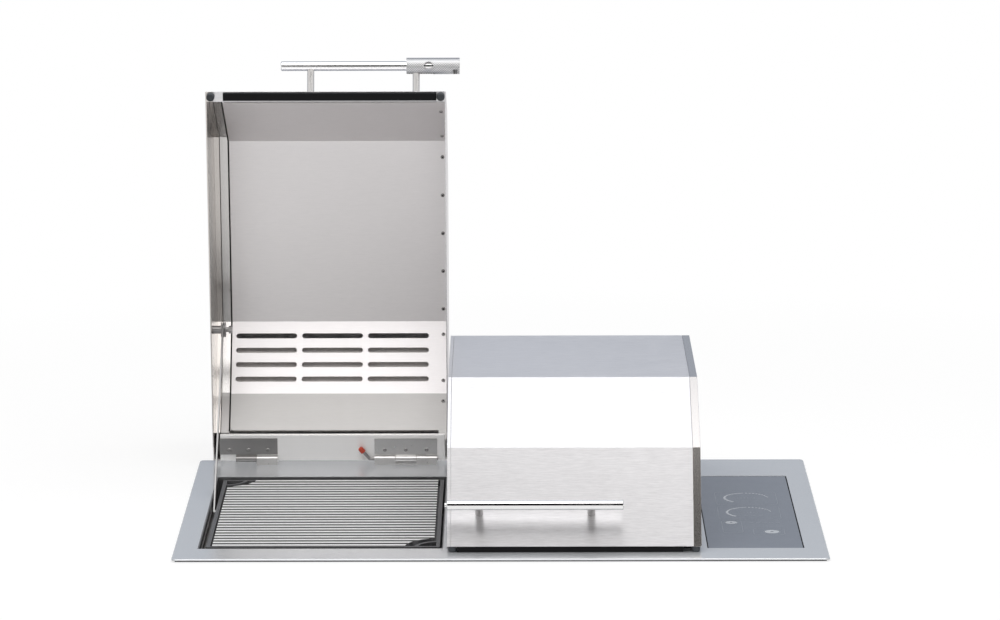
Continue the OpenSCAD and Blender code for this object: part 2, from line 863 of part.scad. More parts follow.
module hold_down_clamps() {
    color(dull) clamp_places() difference() {
        union() {
            block([0, -clamp_w / 2, -clamp_h], [clamp_t, clamp_w / 2, 0]);
            block([0, -clamp_w / 2, -clamp_t], [clamp_t + clamp_reach, clamp_w / 2, 0]);
        }
        translate([clamp_t + clamp_reach / 2, 0, -clamp_t - over])
            cylinder(d = clamp_bolt_d, h = clamp_t + 2 * over);
    }
}

module clamp_bolts() {
    color(steel) clamp_places() translate([clamp_t + clamp_reach / 2, 0, 0]) {
        translate([0, 0, -clamp_h / 2]) cylinder(d = clamp_bolt_d, h = clamp_h / 2 + clamp_room);
        translate([0, 0, clamp_room - clamp_pad_h]) cylinder(d = clamp_pad_d, h = clamp_pad_h);
        translate([0, 0, -clamp_h / 2 - clamp_head_h])
            cylinder(d = clamp_pad_d, h = clamp_head_h, $fn = 6);
    }
}

// Hinges

// Base leaf behind the axis, with raised knuckles at the given places
module base_leaf(x0, x1, knuckles, bore) {
    r = knuckle_d / 2;
    difference() {
        union() {
            block([x0, -r, -hinge_h], [x1, base_leaf_d, leaf_t - hinge_h]);
            for (x = knuckles) {
                rod_x(x, knuckle_l, knuckle_d);
                block([x, -r, -hinge_h], [x + knuckle_l, r, 0]);
            }
        }
        rod_x(x0 - over, x1 - x0 + 2 * over, bore);
    }
}

module screw_holes(side) {
    difference() {
        children();
        hinge_screw_places(side) {
            cylinder(d1 = base_screw_d, d2 = base_screw_head, h = leaf_t);
            translate([0, 0, leaf_t]) cylinder(d = base_screw_head, h = over);
            translate([0, 0, -over]) cylinder(d = base_screw_d, h = leaf_t + over);
        }
    }
}

module slip_hinge_base(side) {
    x0 = slip_mid + knuckle_gap;
    color(steel) {
        screw_holes(side) on_base(side) translate([0, hinge_y, hinge_z])
            base_leaf(x0, slip_end, [x0], hinge_pin_d);
        on_base(side) translate([0, hinge_y, hinge_z])
            rod_x(slip_inset, slip_end - slip_inset, hinge_pin_d);
    }
}

module pin_hinge_base(side) {
    color(steel) screw_holes(side) on_base(side) translate([0, hinge_y, hinge_z])
        base_leaf(pin_start, pin_end, [pin_start, pin_end - knuckle_l], pin_bore_d);
}

module hinge_base_screws() {
    color(steel) for (side = [-1, 1]) {
        hinge_screw_places(side) {
            cylinder(d1 = base_screw_d, d2 = base_screw_head, h = leaf_t);
            translate([0, 0, -base_screw_l]) cylinder(d = base_screw_d, h = base_screw_l);
        }
    }
}

// Lid leaf in front of the axis, with one knuckle
module lid_leaf(x0, x1, knuckle_x) {
    difference() {
        union() {
            block([x0, -leaf_d, rail_z - leaf_t], [x1, -leaf_clear, rail_z]);
            block([knuckle_x, -leaf_d, rail_z - leaf_t], [knuckle_x + knuckle_l, 0, rail_z]);
            rod_x(knuckle_x, knuckle_l, knuckle_d);
        }
        rod_x(knuckle_x - over, knuckle_l + 2 * over, pin_bore_d);
    }
}

module slip_hinge_leaf(side) {
    color(steel) on_lid(side) lid_leaf(slip_inset - slip_leaf_ext, slip_end, slip_inset);
}

module pin_hinge_leaf(side) {
    color(steel) on_lid(side) lid_leaf(pin_start, pin_end, pin_mid);
}

// The bent leg's root, with z along the leg
module on_leg(side) {
    on_lid(side) translate([pin_start - pin_tail, 0, 0])
        rotate([90, 0, 0]) rotate([0, -leg_lean, 0]) children();
}

module release_pin(side) {
    color(steel) {
        on_lid(side) {
            rod_x(pin_start - pin_tail, pin_end + pin_nose - pin_start + pin_tail, hinge_pin_d);
            translate([pin_start - pin_tail, 0, 0]) sphere(d = hinge_pin_d);
        }
        on_leg(side) cylinder(d = hinge_pin_d, h = leg_l);
    }
}

module pin_cap(side) {
    wall = (cap_d - hinge_pin_d) / 2;
    color([0.75, 0.12, 0.08]) on_leg(side) translate([0, 0, leg_l + wall - cap_l]) difference() {
        union() {
            cylinder(d = cap_d, h = cap_l - wall);
            translate([0, 0, cap_l - wall]) cylinder(d1 = cap_d, d2 = cap_d - 2 * wall, h = wall);
        }
        translate([0, 0, -over]) cylinder(d = hinge_pin_d, h = cap_l - wall + over);
    }
}

// Lids

module lid_cover(side) {
    cover_w = lid_w - band_w - inner_band_w - 2 * seam;
    color(steel) on_lid(side)
        along_x(band_w + seam, cover_w) sheet_2d(concat(shell_path, rail_path), -sheet);
}

// End panel with the band that closes its side of the cover
module end_panel(band) {
    along_x(0, band) sheet_2d(shell_path, -sheet);
    along_x(0, sheet)
        polygon(concat([end_toe], [for (i = [1 : len(shell_path) - 1]) shell_path[i]]));
}

// What lies above a height over the lid's rim plane
module above(height) {
    intersection() {
        children();
        translate([rim.x, height]) square([lid_reach, lid_h]);
    }
}

module lid_outer_end(side) {
    color(steel) on_lid(side) {
        end_panel(band_w);
        along_x(0, channel_x - channel_gap)
            above(0) sheet_2d(moved(liner_path, channel_step), sheet);
    }
}

module lid_inner_end(side) {
    color(steel) on_lid(side) translate([lid_w, 0, 0]) mirror([1, 0, 0]) {
        end_panel(inner_band_w);
        along_x(0, end_flange) sheet_2d(moved(flange_path, liner_t), sheet);
    }
}

module lid_side_channel(side) {
    color(satin) on_lid(side) {
        along_x(channel_x, liner_inset + channel_web - channel_x)
            above(sheet + seam) sheet_2d(moved(liner_path, channel_step), sheet);
        along_x(liner_inset, channel_web)
            above(sheet + seam) sheet_2d(moved(liner_path, liner_t), channel_step - liner_t);
    }
}

module vent_slot() {
    flat = slot_l - slot_h;
    translate([0, -slot_h / 2, -over]) cube([flat, slot_h, liner_t + 2 * over]);
    for (x = [0, flat]) {
        translate([x, 0, -over]) cylinder(d = slot_h, h = liner_t + 2 * over);
    }
}

// The liner's tail panel, with y running down it
module on_tail() {
    translate([0, liner_3.x, liner_3.y]) rotate([-atan2(tail_drop, tail_run), 0, 0]) children();
}

// What rounding takes off a corner of the tail panel, at its left or its right
module corner_cut(way) {
    translate([0, 0, -over]) linear_extrude(tail_lip + 2 * over) difference() {
        translate([min(way, 0) * tail_r - over * way, -tail_r]) square([tail_r + over, tail_r + over]);
        translate([way * tail_r, -tail_r]) circle(tail_r);
    }
}

module lid_liner(side) {
    x_slot = liner_inset + slot_margin + slot_h / 2;
    lip = liner_4 + tail_lip * normal(liner_3, liner_4);
    color(satin) on_lid(side) difference() {
        union() {
            along_x(liner_inset, liner_w - tab_w) sheet_2d(concat(liner_path, [lip]), liner_t);
            along_x(liner_inset + liner_w - tab_w, tab_w)
                sheet_2d([liner_0, liner_1, liner_2, liner_3, tab_end], liner_t);
        }
        on_tail() translate([liner_inset, norm(liner_4 - liner_3), 0]) corner_cut(1);
        on_tail() translate([liner_inset + liner_w, norm(tab_end - liner_3), 0]) corner_cut(-1);
        for (row = [1 : slot_rows], col = [0 : slot_cols - 1]) {
            translate([x_slot + col * (slot_l + slot_web), liner_2.x, liner_2.y])
                rotate([-vent_tilt, 0, 0])
                    translate([0, row * vent_l / (slot_rows + 1), 0]) vent_slot();
        }
    }
}

module lid_seals(side) {
    height = hinge_h - seat_gap;
    last = lid_w - bumper_inset - bumper_d / 2 - seam;
    color(black) on_lid(side) {
        block([gasket_inset, seal_edge - lid_reach, -height],
              [last, seal_edge + gasket_w - lid_reach, 0]);
        for (x = [bumper_inset, lid_w - bumper_inset]) {
            translate([x, bumper_d / 2 + seal_edge - lid_reach, -height]) {
                cylinder(d1 = bumper_d - 2 * seal_edge, d2 = bumper_d, h = seal_edge);
                translate([0, 0, seal_edge]) cylinder(d = bumper_d, h = height - seal_edge);
            }
        }
    }
}

module leaf_rivets(x0, x1) {
    pitch = (x1 - x0) / rivets;
    for (i = [0 : rivets - 1]) {
        translate([x0 + (i + 0.5) * pitch, rivet_y, rail_z - leaf_t - rivet_h])
            cylinder(d1 = rivet_d - 2 * head_taper, d2 = rivet_d, h = rivet_h);
    }
}

// Screw heads down one panel of the liner from p to q, at shares of the way
module liner_screw_row(p, q, shares) {
    tilt = atan2(q.y - p.y, q.x - p.x);
    for (share = shares) {
        place = p + (q - p) * share;
        translate([lid_w - bumper_inset, place.x, place.y]) rotate([tilt, 0, 0])
            translate([0, 0, -liner_screw_h])
                cylinder(d1 = liner_screw_d - 2 * head_taper, d2 = liner_screw_d, h = liner_screw_h);
    }
}

module lid_fasteners(side) {
    color(dull) on_lid(side) {
        leaf_rivets(slip_inset - slip_leaf_ext, slip_end);
        leaf_rivets(pin_start, pin_end);
        liner_screw_row(liner_0, liner_1, [0.23, 0.87]);
        liner_screw_row(liner_1, liner_2, [for (i = [0 : 4]) 0.09 + 0.21 * i]);
        liner_screw_row(liner_2, liner_3, [0.18, 0.82]);
        liner_screw_row(liner_3, tab_end, [0.16, 0.9]);
        for (x = post_xs) {
            translate([x, post_foot.x, post_foot.y]) rotate([panel_tilt, 0, 0])
                translate([0, 0, -sheet - post_screw_h])
                    cylinder(d = post_screw_d, h = post_screw_h);
        }
    }
}

module handle_bar(side) {
    color(steel) on_bar(side) {
        rod_x(lid_w - bar_l + bar_chamfer, bar_l - 2 * bar_chamfer, bar_d);
        for (x = [lid_w - bar_l, lid_w]) {
            translate([x, 0, 0]) rotate([0, x < lid_w ? 90 : -90, 0])
                cylinder(d1 = bar_d - 2 * bar_chamfer, d2 = bar_d, h = bar_chamfer);
        }
        if (side > 0) rod_x(lid_w - over, spigot_l + over, spigot_d);
    }
}

module handle_posts(side) {
    color(steel) on_bar(side) difference() {
        for (x = post_xs) {
            translate([x, 0, -bar_off]) cylinder(d = post_d, h = bar_off);
        }
        rod_x(0, lid_w + over, bar_d);
    }
}

module coupler_sleeve() {
    bore = bar_d + 2 * sleeve_play;
    color(steel) on_bar(-1) translate([sleeve_x, 0, 0]) difference() {
        rod_x(0, sleeve_l, sleeve_d);
        rod_x(-over, sleeve_l + 2 * over, bore);
        block([-over, -post_slot_w / 2, -sleeve_d],
              [post_slot_l - post_slot_w / 2, post_slot_w / 2, 0]);
        translate([post_slot_l - post_slot_w / 2, 0, -sleeve_d])
            cylinder(d = post_slot_w, h = sleeve_d);
        translate([window_x + window_w / 2, 0, -bar_d / 6]) rotate([90, 0, 0])
            cylinder(d = window_w, h = sleeve_d);
        translate([sleeve_l - sleeve_notch_end - sleeve_notch_l, -sleeve_d, -sleeve_d])
            cube([sleeve_notch_l, sleeve_d, sleeve_d - bar_d / 2]);
    }
}

// Lid stays

module stay_bolt(side) {
    color(dull) on_lid(side) translate([0, -stay_a, stay_z]) {
        rod_x(sheet, stay_inset + nut_reach + nut_h - sheet, stay_bolt_d);
        rod_x(sheet, stay_inset - seat_gap - sheet, nut_d);
        rod_x(stay_inset - seat_gap - washer_t, washer_t, washer_d);
        for (i = [0 : washers - 1]) {
            rod_x(stay_inset + stay_t + seat_gap + 2 * i * washer_t, washer_t, washer_d);
        }
        translate([stay_inset + nut_reach, 0, 0]) rotate([0, 90, 0])
            cylinder(d = nut_d, h = nut_h, $fn = 6);
    }
}

module stay(side) {
    angle = side < 0 ? open_angle : 0;
    pivot = lid_point(angle);
    color(steel) on_base(side) translate([stay_inset, pivot.x, pivot.y])
        rotate([stay_fall(angle), 0, 0]) {
            difference() {
                along_x(0, stay_t) {
                    for (y = [0, -stay_l]) {
                        translate([y, 0]) circle(d = y < 0 ? roller_d : stay_w);
                    }
                    polygon([
                        [0, stay_w / 2], [0, -stay_w / 2],
                        [-stay_l, -roller_d / 2], [-stay_l, roller_d / 2]
                    ]);
                }
                rod_x(-over, stay_t + 2 * over, stay_bore_d);
            }
            translate([0, -stay_l, 0]) rod_x(0, stay_t + roller_l - fit, roller_d);
        }
}

deck_plate();
flange_seal();
burner_floor();
burner_walls();
well(-1);  // left_well
well(1);  // right_well
drip_tray(-1);  // left_drip_tray
drip_tray(1);  // right_drip_tray
heating_element(-1);  // left_element
heating_element(1);  // right_element
stay_track(-1);  // left_stay_track
stay_track(1);  // right_stay_track
control_glass();
control_gasket();
control_housing();
control_board();
terminal_block();
cable_gland();
hold_down_clamps();
clamp_bolts();
slip_hinge_base(-1);  // left_slip_hinge_base
slip_hinge_base(1);  // right_slip_hinge_base
pin_hinge_base(-1);  // left_pin_hinge_base
pin_hinge_base(1);  // right_pin_hinge_base
hinge_base_screws();
lid_cover(-1);  // left_lid_cover
lid_outer_end(-1);  // left_lid_outer_end
lid_inner_end(-1);  // left_lid_inner_end
lid_liner(-1);  // left_lid_liner
lid_side_channel(-1);  // left_lid_side_channel
lid_seals(-1);  // left_lid_seals
slip_hinge_leaf(-1);  // left_slip_hinge_leaf
pin_hinge_leaf(-1);  // left_pin_hinge_leaf
lid_fasteners(-1);  // left_lid_fasteners
handle_bar(-1);  // left_handle_bar
handle_posts(-1);  // left_handle_posts
stay_bolt(-1);  // left_stay_bolt
lid_cover(1);  // right_lid_cover
lid_outer_end(1);  // right_lid_outer_end
lid_inner_end(1);  // right_lid_inner_end
lid_liner(1);  // right_lid_liner
lid_side_channel(1);  // right_lid_side_channel
lid_seals(1);  // right_lid_seals
slip_hinge_leaf(1);  // right_slip_hinge_leaf
pin_hinge_leaf(1);  // right_pin_hinge_leaf
lid_fasteners(1);  // right_lid_fasteners
handle_bar(1);  // right_handle_bar
handle_posts(1);  // right_handle_posts
stay_bolt(1);  // right_stay_bolt
coupler_sleeve();
release_pin(-1);  // left_release_pin
pin_cap(-1);  // left_pin_cap
release_pin(1);  // right_release_pin
pin_cap(1);  // right_pin_cap
stay(-1);  // left_stay
stay(1);  // right_stay
grate(-1);  // left_grate
grate(1);  // right_grate
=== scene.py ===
import json
from math import cos, pi, radians, sin

import bmesh
import bpy
from mathutils import Matrix, Vector


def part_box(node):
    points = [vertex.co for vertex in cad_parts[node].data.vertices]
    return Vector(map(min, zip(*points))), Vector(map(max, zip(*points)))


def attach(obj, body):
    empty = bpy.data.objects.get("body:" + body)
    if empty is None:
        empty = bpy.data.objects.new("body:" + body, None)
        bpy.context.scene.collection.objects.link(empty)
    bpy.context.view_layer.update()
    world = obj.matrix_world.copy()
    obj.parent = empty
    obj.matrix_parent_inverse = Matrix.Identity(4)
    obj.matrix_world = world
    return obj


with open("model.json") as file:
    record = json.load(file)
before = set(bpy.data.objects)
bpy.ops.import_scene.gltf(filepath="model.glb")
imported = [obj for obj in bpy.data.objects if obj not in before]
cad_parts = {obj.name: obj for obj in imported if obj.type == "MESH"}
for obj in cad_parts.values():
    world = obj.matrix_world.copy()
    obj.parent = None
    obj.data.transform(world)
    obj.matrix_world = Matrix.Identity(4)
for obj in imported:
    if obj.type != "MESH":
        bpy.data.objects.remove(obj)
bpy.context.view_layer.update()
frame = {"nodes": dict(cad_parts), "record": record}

NODES = frame["nodes"]
SCENE = bpy.context.scene
SCENE.view_settings.view_transform = "Standard"

MM = 0.001
SIDES = ("left", "right")
SQUARE = ((-1, -1), (1, -1), (1, 1), (-1, 1))

# Sizes that follow the part's source
LID_WIDTH, LID_GAP = 297 * MM, 4.8 * MM
OUTER_EDGE = {"left": -364.4 * MM, "right": 234.4 * MM}
# Direction along X from a lid's outer edge to its inner end
INWARD = {"left": 1, "right": -1}
# At rest the left lid stands open and the right lid is closed
REST_TURN = {"left": radians(-83), "right": 0}
HINGE_Y, HINGE_Z = 243 * MM, 11 * MM
BETWEEN_LIDS_X = OUTER_EDGE["left"] + LID_WIDTH + LID_GAP / 2
RIGHT_LID_MIDDLE_X = OUTER_EDGE["right"] - LID_WIDTH / 2
# A lid's gasket stays within this distance of the lid's middle, and the corner bumpers lie beyond
GASKET_REACH = 136.9 * MM
GRATE_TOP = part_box("left_grate")[1].z
SLEEVE_LOW, SLEEVE_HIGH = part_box("coupler_sleeve")

# Camera: a long lens, 5.7 m in front of the grill and 1.3 m above the counter
CAMERA_AT = (0.01425, -5.74073, 1.3228)
CAMERA_YAW, CAMERA_PITCH, CAMERA_ROLL = radians(-0.15), radians(10.61), radians(-0.13)
CAMERA_REACH = 100
LENS_MM, SENSOR_MM = 174.483, 36


def add_camera():
    data = bpy.data.cameras.new("camera")
    data.sensor_fit = "HORIZONTAL"
    data.sensor_width = SENSOR_MM
    data.lens = LENS_MM
    data.clip_end = CAMERA_REACH
    level = cos(CAMERA_PITCH)
    forward = Vector((sin(CAMERA_YAW) * level, cos(CAMERA_YAW) * level, -sin(CAMERA_PITCH)))
    right = Vector((cos(CAMERA_YAW), -sin(CAMERA_YAW), 0))
    up = right.cross(forward)
    c, s = cos(CAMERA_ROLL), sin(CAMERA_ROLL)
    axes = (c * right + s * up, c * up - s * right, -forward)
    camera = bpy.data.objects.new("camera", data)
    camera.matrix_world = Matrix.Translation(CAMERA_AT) @ Matrix(axes).transposed().to_4x4()
    SCENE.collection.objects.link(camera)
    SCENE.camera = camera


# Node helpers

# The range that nearly all of a noise falls in
NOISE_LOW, NOISE_HIGH = 0.3, 0.7
# The Mix node's sockets for colours
MIX_FACTOR, MIX_A, MIX_B, MIX_RESULT = 0, 6, 7, 2


class Tree:
    """A material's or the world's node tree, cleared for building."""

    def __init__(self, owner):
        owner.use_nodes = True
        self.tree = owner.node_tree
        self.tree.nodes.clear()

    def add(self, kind, inputs=None, **settings):
        made = self.tree.nodes.new("ShaderNode" + kind)
        for key, value in settings.items():
            setattr(made, key, value)
        for key, value in (inputs or {}).items():
            if isinstance(value, bpy.types.NodeSocket):
                self.tree.links.new(value, made.inputs[key])
            else:
                made.inputs[key].default_value = value
        return made

    def math(self, operation, a, b=0.0):
        return self.add("Math", {0: a, 1: b}, operation=operation).outputs[0]

    def spread(self, value, low, high, to_low=0.0, to_high=1.0):
        inputs = {"Value": value, "From Min": low, "From Max": high, "To Min": to_low, "To Max": to_high}
        return self.add("MapRange", inputs).outputs["Result"]

    def from_noise(self, noise, to_low, to_high):
        return self.spread(noise, NOISE_LOW, NOISE_HIGH, to_low, to_high)

    def blend(self, factor, a, b):
        mix = self.add("Mix", {MIX_FACTOR: factor, MIX_A: a, MIX_B: b}, data_type="RGBA")
        return mix.outputs[MIX_RESULT]

    def mottled(self, noise, dark, pale):
        """Two colours, mixed by a noise."""
        return self.blend(self.from_noise(noise, 0.0, 1.0), dark, pale)

    def point(self):
        """The shaded point in the piece's own coordinates, which are the part's at rest."""
        return self.add("TexCoord").outputs["Object"]

    def axes(self):
        return self.add("SeparateXYZ", {"Vector": self.point()}).outputs

    def noise(self, scale, detail, rough=0.6):
        """A noise with its own scale along each axis."""
        at = self.add("Mapping", {"Vector": self.point(), "Scale": scale}).outputs["Vector"]
        inputs = {"Vector": at, "Scale": 1.0, "Detail": detail, "Roughness": rough}
        return self.add("TexNoise", inputs).outputs["Fac"]

    def relief(self, height, strength, distance, normal=None):
        inputs = {"Strength": strength, "Distance": distance, "Height": height}
        if normal:
            inputs["Normal"] = normal
        return self.add("Bump", inputs).outputs[0]


def even(scale):
    return (scale, scale, scale)


def rgb(*values):
    return (*values, 1.0)


def scaled(colour, k):
    return (colour[0] * k, colour[1] * k, colour[2] * k, 1.0)


def surface(name, **sockets):
    """A material with a principled shader. Returns it with its tree and its shader."""
    made = bpy.data.materials.new(name)
    t = Tree(made)
    shader = t.add("BsdfPrincipled", {key.replace("_", " "): value for key, value in sockets.items()})
    t.add("OutputMaterial", {"Surface": shader.outputs[0]})
    return made, t, shader


def link(t, shader, **sockets):
    for key, socket in sockets.items():
        t.tree.links.new(socket, shader.inputs[key.replace("_", " ")])


# Finishes

# Noise scales of the kinds of grain: long streaks along X or along Y, or no direction
GRAIN = {
    "x": (70, 1000, 1000), "fold": (1000, 70, 1000),
    "round": even(40), "none": even(220), "satin": even(700),
}
# How the highlight lies to the brushing, in turns, on all but the fold grain
QUARTER_TURN = 0.25
# The brushing's direction: X, with a little Z so that faces that look along X have one too
BRUSHING = {"X": 1.0, "Z": 0.08}
STREAK_SHARE, CLOUD_SHARE = 0.9, 0.1
# Noise scales of the soft clouds in a sheet's and in a coat's tone
SHEET_CLOUDS, COAT_CLOUDS = even(6), even(14)
EDGE_SAMPLES = 4
RELIEF_DEPTH = 0.05 * MM
# Only what lies behind this counts as the back of the open lid
LID_BACK_Y = HINGE_Y - 8 * MM
# Tops of the painted patches on the open lid: painted light on its sheets, and painted shade on its liner
# and side channel up to the fold over the tail
LID_PAINTED_LIGHT_TOP, TAIL_FOLD_TOP = 46 * MM, 84.4 * MM


def low_on_left_lid(t, height):
    """1 on what lies below a height at the back of the left lid as it stands open, 0 elsewhere: where the
    painted light and shade go.
    """
    at = t.axes()
    low = t.math("LESS_THAN", at["Z"], height)
    behind = t.math("GREATER_THAN", at["Y"], LID_BACK_Y)
    left = t.math("LESS_THAN", at["X"], BETWEEN_LIDS_X)
    return t.math("MULTIPLY", t.math("MULTIPLY", low, behind), left)


def brushed(
    name, colour, roughness, anisotropic, wear, grain="x", vary=0.055, bump=0.25, edge=0.7, metallic=1.0,
    painted_light_patch=None,
):
    """Brushed sheet steel: streaks along the grain, cloudy handling marks and softly rounded edges.

    The last argument paints the left lid's lower faces at the back with a tone of their own: painted light
    on the lid's sheets, painted shade on its liner and side channel. It holds a height, that colour and
    added roughness.
    """
    turn = 0.0 if grain == "fold" else QUARTER_TURN
    made, t, shader = surface(name, Metallic=metallic, Anisotropic=anisotropic, Anisotropic_Rotation=turn)
    streaks = t.noise(GRAIN[grain], detail=4, rough=0.7)
    clouds = t.noise(SHEET_CLOUDS, detail=2)
    tone = t.math("ADD", t.math("MULTIPLY", streaks, STREAK_SHARE), t.math("MULTIPLY", clouds, CLOUD_SHARE))
    base = t.mottled(tone, scaled(colour, 1 - wear), scaled(colour, 1 + wear))
    rough = t.from_noise(streaks, roughness - vary, roughness + vary)
    # Painted light and shade on the open left lid's lower faces at the back
    if painted_light_patch:
        height, painted_tone, duller = painted_light_patch
        painted_patch_mask = low_on_left_lid(t, height)
        base = t.blend(painted_patch_mask, base, rgb(*painted_tone))
        rough = t.math("ADD", rough, t.math("MULTIPLY", painted_patch_mask, duller))
    bevel = t.add("Bevel", {"Radius": edge * MM}, samples=EDGE_SAMPLES)
    normal = t.relief(streaks, bump, RELIEF_DEPTH, bevel.outputs[0])
    along = t.add("CombineXYZ", BRUSHING)
    link(t, shader, Base_Color=base, Roughness=rough, Normal=normal, Tangent=along.outputs[0])
    return made


def plain_steel(name, colour, roughness):
    """Steel of small parts, without a direction of brushing."""
    return brushed(name, colour, roughness, anisotropic=0.0, wear=0.03, grain="none", edge=0.3)


def coated(name, colour, roughness, metallic=0.0, scale=400, wear=0.12, bump=0.3, gloss=0.5):
    """A plain finish with fine speckle: moulded plastic, rubber, ceramic, paint or cast metal."""
    vary = 0.06
    made, t, shader = surface(name, Metallic=metallic, Specular_IOR_Level=gloss)
    speckle = t.noise(even(scale), detail=3)
    clouds = t.noise(COAT_CLOUDS, detail=2)
    tone = t.math("MULTIPLY", t.math("ADD", speckle, clouds), 0.5)
    base = t.mottled(tone, scaled(colour, 1 - wear), scaled(colour, 1 + wear))
    rough = t.from_noise(speckle, roughness - vary, roughness + vary)
    link(t, shader, Base_Color=base, Roughness=rough, Normal=t.relief(speckle, bump, RELIEF_DEPTH))
    return made


def cast_grate():
    """Grey cast alloy. The ribs' crests are painted bright as a highlight, their flanks and the grooves
    painted dark as shade.
    """
    flank_top, crest_foot = GRATE_TOP - 0.5 * MM, GRATE_TOP - 0.1 * MM
    pit_depth = 0.06 * MM
    made, t, shader = surface("cast_alloy")
    crest = t.spread(t.axes()["Z"], flank_top, crest_foot)
    speckle = t.noise(even(600), detail=3)
    crest_streaks = t.noise((12, 1500, 1500), detail=2)
    # Painted highlight on the crests, painted shade on the flanks and in the grooves
    bright = t.mottled(crest_streaks, rgb(0.90, 0.90, 0.89), rgb(0.97, 0.97, 0.96))
    dark = t.mottled(speckle, rgb(0.16, 0.16, 0.165), rgb(0.22, 0.22, 0.225))
    rough = t.spread(crest, 0, 1, 0.6, 0.5)
    metal = t.spread(crest, 0, 1, 0.9, 0.15)
    normal = t.relief(speckle, strength=0.3, distance=pit_depth)
    link(t, shader, Base_Color=t.blend(crest, dark, bright), Roughness=rough, Metallic=metal, Normal=normal)
    return made


def knurled_sleeve():
    """Diamond knurl round the coupler sleeve, which lies along X."""
    starts, pitch, depth = 20, 3.0 * MM, 0.12 * MM
    # The two crossing waves add up to heights of -2 to 2. The painted shade and highlight are full from
    # this height on
    full = 1.6
    colour = (0.60, 0.60, 0.605)
    made, t, shader = surface("knurled_steel", Metallic=1.0, Roughness=0.3)
    at = t.axes()
    y = t.math("SUBTRACT", at["Y"], (SLEEVE_LOW.y + SLEEVE_HIGH.y) / 2)
    z = t.math("SUBTRACT", at["Z"], (SLEEVE_LOW.z + SLEEVE_HIGH.z) / 2)
    turn = t.math("MULTIPLY", t.math("ARCTAN2", z, y), starts)
    run = t.math("MULTIPLY", at["X"], 2 * pi / pitch)
    one = t.math("SINE", t.math("ADD", run, turn))
    other = t.math("SINE", t.math("SUBTRACT", run, turn))
    height = t.math("ADD", one, other)
    # The knurl's valleys are painted darker and its crests lighter: painted shade and painted highlight
    base = t.blend(t.spread(height, -full, full), scaled(colour, 0.6), scaled(colour, 1.1))
    link(t, shader, Base_Color=base, Normal=t.relief(height, strength=0.8, distance=depth))
    return made


def tinted_glass():
    """Dark back-printed glass with a faint haze of fingerprints."""
    made, t, shader = surface("tinted_glass", IOR=1.28)
    smear = t.noise(even(40), detail=4)
    base = t.mottled(smear, rgb(0.20, 0.22, 0.26), rgb(0.215, 0.235, 0.275))
    link(t, shader, Base_Color=base, Roughness=t.from_noise(smear, 0.10, 0.18))
    return made


def gasket_and_bumpers():
    """Black gasket rubber, with the two corner bumpers in a greyer rubber."""
    made, t, shader = surface("lid_rubber", Specular_IOR_Level=0.2)
    x = t.axes()["X"]
    on_left = t.math("LESS_THAN", x, BETWEEN_LIDS_X)
    middle = t.math("SUBTRACT", RIGHT_LID_MIDDLE_X, t.math("MULTIPLY", on_left, LID_WIDTH + LID_GAP))
    bumper = t.math("GREATER_THAN", t.math("ABSOLUTE", t.math("SUBTRACT", x, middle)), GASKET_REACH)
    speckle = t.noise(even(900), detail=3)
    black = t.mottled(speckle, rgb(0.007, 0.007, 0.008), rgb(0.010, 0.010, 0.011))
    grey = t.mottled(speckle, rgb(0.085, 0.092, 0.10), rgb(0.11, 0.117, 0.125))
    rough = t.from_noise(speckle, 0.6, 0.75)
    normal = t.relief(speckle, strength=0.3, distance=RELIEF_DEPTH)
    link(t, shader, Base_Color=t.blend(bumper, black, grey), Roughness=rough, Normal=normal)
    return made


MATERIALS = {
    "deck_steel": brushed(
        "deck_satin", (0.72, 0.735, 0.755), 0.24, anisotropic=0.4, wear=0.03, grain="satin", vary=0.02,
        bump=0.04, edge=0.5, metallic=0.42,
    ),
    "lid_steel": brushed(
        "lid_brushed", (0.745, 0.735, 0.745), 0.325, anisotropic=0.87, wear=0.1, vary=0.045, bump=0.2,
        # Painted light: the open lid's lower sheets at the back are painted near white
        painted_light_patch=(LID_PAINTED_LIGHT_TOP, (0.97, 0.96, 0.95), 0.2),
    ),
    # The end sheets are brushed along their folds. Their darker, warmer colour is partly painted reflection
    # of dark surroundings on the end bands
    "end_steel": brushed(
        "end_brushed", (0.64, 0.61, 0.585), 0.25, anisotropic=0.85, wear=0.04, grain="fold", vary=0.015,
        bump=0.03,
    ),
    "liner_steel": brushed(
        "liner_mill", (0.93, 0.905, 0.905), 0.48, anisotropic=0.4, wear=0.03, bump=0.1,
        # Painted shade: the liner's tail is painted darker
        painted_light_patch=(TAIL_FOLD_TOP, (0.49, 0.48, 0.47), 0.0),
    ),
    "tub_steel": coated("galvanised", (0.26, 0.26, 0.265), 0.45, metallic=0.9, scale=120),
    "tray_aluminium": coated("pressed_aluminium", (0.55, 0.55, 0.56), 0.38, metallic=1.0, scale=300),
    "grate_aluminium": cast_grate(),
    "element_steel": coated("heated_tube", (0.10, 0.095, 0.095), 0.5, metallic=0.8, scale=200),
    "seal_rubber": coated("black_rubber", (0.008, 0.008, 0.009), 0.7, scale=900, gloss=0.15),
    "control_glass": tinted_glass(),
    "housing_aluminium": coated("folded_aluminium", (0.58, 0.58, 0.59), 0.4, metallic=1.0),
    "board_green": coated("solder_mask", (0.02, 0.11, 0.05), 0.4),
    "ceramic": coated("unglazed_ceramic", (0.72, 0.68, 0.60), 0.7, scale=700),
    "gland_black": coated("moulded_nylon", (0.02, 0.02, 0.022), 0.45, scale=1200),
    "hinge_steel": plain_steel("hinge_steel", (0.68, 0.67, 0.66), 0.32),
    "handle_steel": brushed(
        "turned_bar", (0.80, 0.795, 0.79), 0.11, anisotropic=0.3, wear=0.02, grain="round", bump=0.03,
        edge=0.3,
    ),
    "cap_red": coated("dipped_vinyl", (0.58, 0.06, 0.025), 0.28, scale=700, wear=0.06),
    "stay_steel": plain_steel("strip_steel", (0.36, 0.355, 0.35), 0.40),
    "sleeve_steel": knurled_sleeve(),
}
DARK_STEEL = plain_steel("dark_steel", (0.34, 0.33, 0.325), 0.34)

